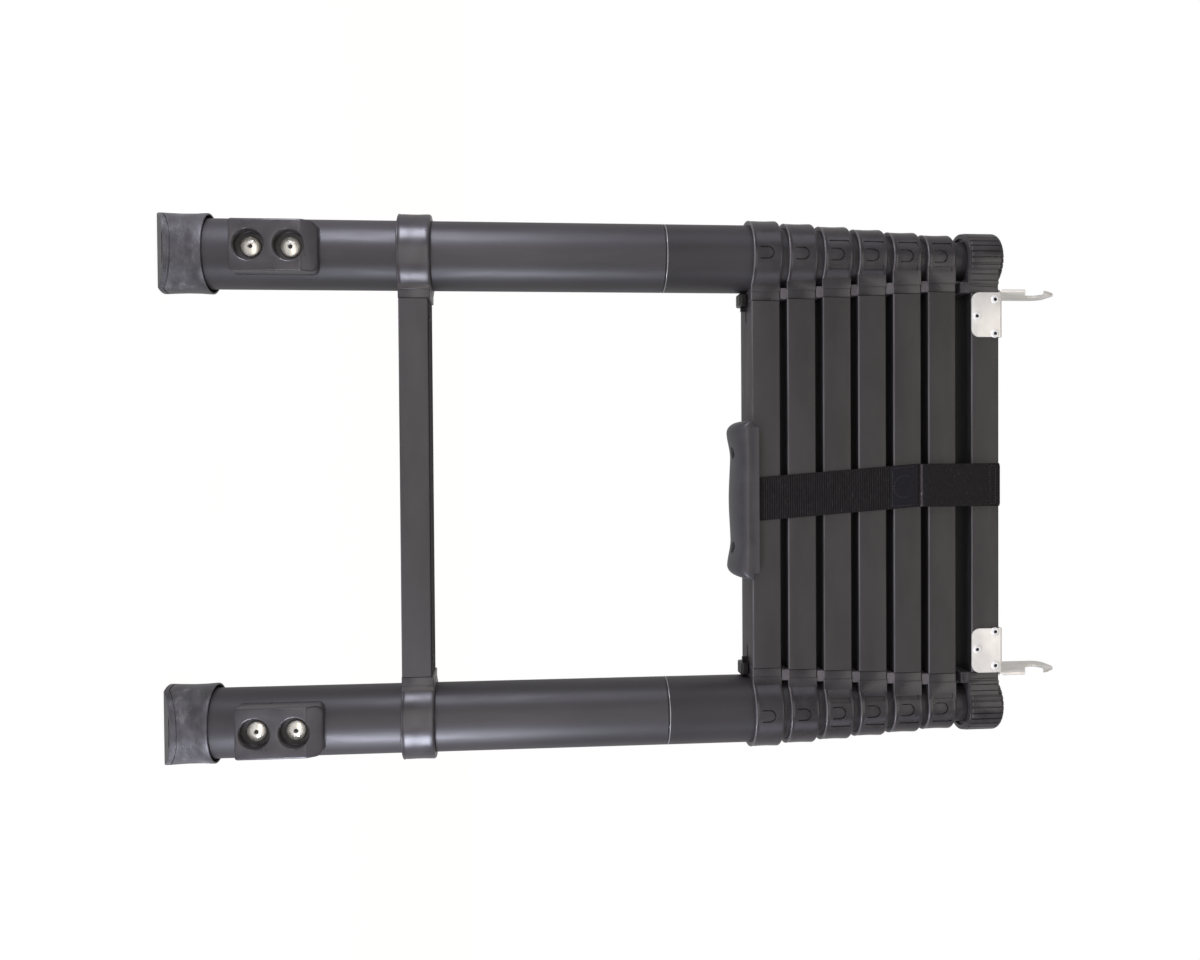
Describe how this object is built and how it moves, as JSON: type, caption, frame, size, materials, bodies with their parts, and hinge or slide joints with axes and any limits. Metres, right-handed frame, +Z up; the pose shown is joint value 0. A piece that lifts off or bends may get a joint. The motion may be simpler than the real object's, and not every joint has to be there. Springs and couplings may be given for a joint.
{
  "type": "telescoping ladder",
  "caption": "Closed telescoping ladder: nested round stiles, flat rungs stacked under end caps, pull-out feet with push-button locks, carrying handle, webbing strap and hook brackets.",
  "frame": {"origin": "on the floor under the soles of the feet, midway between the stiles and midway between front and back of the bounding box", "axes": "+Z up along the stiles, -Y to the front face with the push buttons and the strap, +X to the right stile as seen from the front"},
  "size_m": [0.4658, 0.0778, 0.7785],
  "materials": {
    "tube_black": "satin black anodised",
    "rung_black": "satin black anodised extrusion",
    "collar_plastic": "moulded black nylon, satin",
    "foot_rubber": "scuffed black rubber",
    "grip_plastic": "moulded charcoal grip, fine grain",
    "webbing": "woven black webbing",
    "zinc_steel": "zinc plated sheet",
    "nickel": "turned nickel plate",
    "spring_steel": "bright spring wire"
  },
  "bodies": {
    "base": {"outer_tube_left": "tube_black", "outer_tube_right": "tube_black", "band_collar_left": "collar_plastic", "band_collar_right": "collar_plastic", "lower_rung": "rung_black", "collar_1_left": "collar_plastic", "collar_1_right": "collar_plastic", "rung_1": "rung_black", "lock_housing_left": "collar_plastic", "lock_housing_right": "collar_plastic", "handle": "grip_plastic", "latch_spring_left": "spring_steel", "latch_spring_right": "spring_steel", "button_spring_left_lower": "spring_steel", "button_spring_left_upper": "spring_steel", "button_spring_right_lower": "spring_steel", "button_spring_right_upper": "spring_steel"},
    "section_2": {"tube_2_left": "tube_black", "tube_2_right": "tube_black", "collar_2_left": "collar_plastic", "collar_2_right": "collar_plastic", "rung_2": "rung_black"},
    "section_3": {"tube_3_left": "tube_black", "tube_3_right": "tube_black", "collar_3_left": "collar_plastic", "collar_3_right": "collar_plastic", "rung_3": "rung_black"},
    "section_4": {"tube_4_left": "tube_black", "tube_4_right": "tube_black", "collar_4_left": "collar_plastic", "collar_4_right": "collar_plastic", "rung_4": "rung_black"},
    "section_5": {"tube_5_left": "tube_black", "tube_5_right": "tube_black", "collar_5_left": "collar_plastic", "collar_5_right": "collar_plastic", "rung_5": "rung_black"},
    "section_6": {"tube_6_left": "tube_black", "tube_6_right": "tube_black", "collar_6_left": "collar_plastic", "collar_6_right": "collar_plastic", "rung_6": "rung_black"},
    "section_7": {"tube_7_left": "tube_black", "tube_7_right": "tube_black", "end_cap_left": "collar_plastic", "end_cap_right": "collar_plastic", "top_rung": "rung_black", "top_bracket_left": "zinc_steel", "top_bracket_right": "zinc_steel", "strap": "webbing"},
    "foot_left": {"foot_tube_left": "tube_black", "foot_cap_left": "foot_rubber"},
    "foot_right": {"foot_tube_right": "tube_black", "foot_cap_right": "foot_rubber"},
    "button_left_lower": {"lock_button_left_lower": "nickel"},
    "button_left_upper": {"lock_button_left_upper": "nickel"},
    "button_right_lower": {"lock_button_right_lower": "nickel"},
    "button_right_upper": {"lock_button_right_upper": "nickel"},
    "latch_left": {"thumb_latch_left": "collar_plastic"},
    "latch_right": {"thumb_latch_right": "collar_plastic"}
  },
  "joints": [
    {"name": "extend_2", "type": "slide", "parent": "base", "child": "section_2", "axis": [0, 0, 1], "range_m": [0, 0.2686]},
    {"name": "extend_3", "type": "slide", "parent": "section_2", "child": "section_3", "axis": [0, 0, 1], "range_m": [0, 0.2686]},
    {"name": "extend_4", "type": "slide", "parent": "section_3", "child": "section_4", "axis": [0, 0, 1], "range_m": [0, 0.2686]},
    {"name": "extend_5", "type": "slide", "parent": "section_4", "child": "section_5", "axis": [0, 0, 1], "range_m": [0, 0.2686]},
    {"name": "extend_6", "type": "slide", "parent": "section_5", "child": "section_6", "axis": [0, 0, 1], "range_m": [0, 0.2686]},
    {"name": "extend_7", "type": "slide", "parent": "section_6", "child": "section_7", "axis": [0, 0, 1], "range_m": [0, 0.261]},
    {"name": "foot_left_slide", "type": "slide", "parent": "base", "child": "foot_left", "axis": [0, 0, -1], "range_m": [0, 0.0636]},
    {"name": "foot_right_slide", "type": "slide", "parent": "base", "child": "foot_right", "axis": [0, 0, -1], "range_m": [0, 0.0636]},
    {"name": "button_left_lower_press", "type": "slide", "parent": "base", "child": "button_left_lower", "axis": [0, 1, 0], "range_m": [0, 0.007], "stiffness_N_per_m": 500, "springref_m": -0.004, "deforming": ["button_spring_left_lower"]},
    {"name": "button_left_upper_press", "type": "slide", "parent": "base", "child": "button_left_upper", "axis": [0, 1, 0], "range_m": [0, 0.007], "stiffness_N_per_m": 500, "springref_m": -0.004, "deforming": ["button_spring_left_upper"]},
    {"name": "button_right_lower_press", "type": "slide", "parent": "base", "child": "button_right_lower", "axis": [0, 1, 0], "range_m": [0, 0.007], "stiffness_N_per_m": 500, "springref_m": -0.004, "deforming": ["button_spring_right_lower"]},
    {"name": "button_right_upper_press", "type": "slide", "parent": "base", "child": "button_right_upper", "axis": [0, 1, 0], "range_m": [0, 0.007], "stiffness_N_per_m": 500, "springref_m": -0.004, "deforming": ["button_spring_right_upper"]},
    {"name": "latch_left_slide", "type": "slide", "parent": "base", "child": "latch_left", "axis": [1, 0, 0], "range_m": [0, 0.008], "stiffness_N_per_m": 300, "springref_m": -0.004, "deforming": ["latch_spring_left"]},
    {"name": "latch_right_slide", "type": "slide", "parent": "base", "child": "latch_right", "axis": [-1, 0, 0], "range_m": [0, 0.008], "stiffness_N_per_m": 300, "springref_m": -0.004, "deforming": ["latch_spring_right"]}
  ]
}
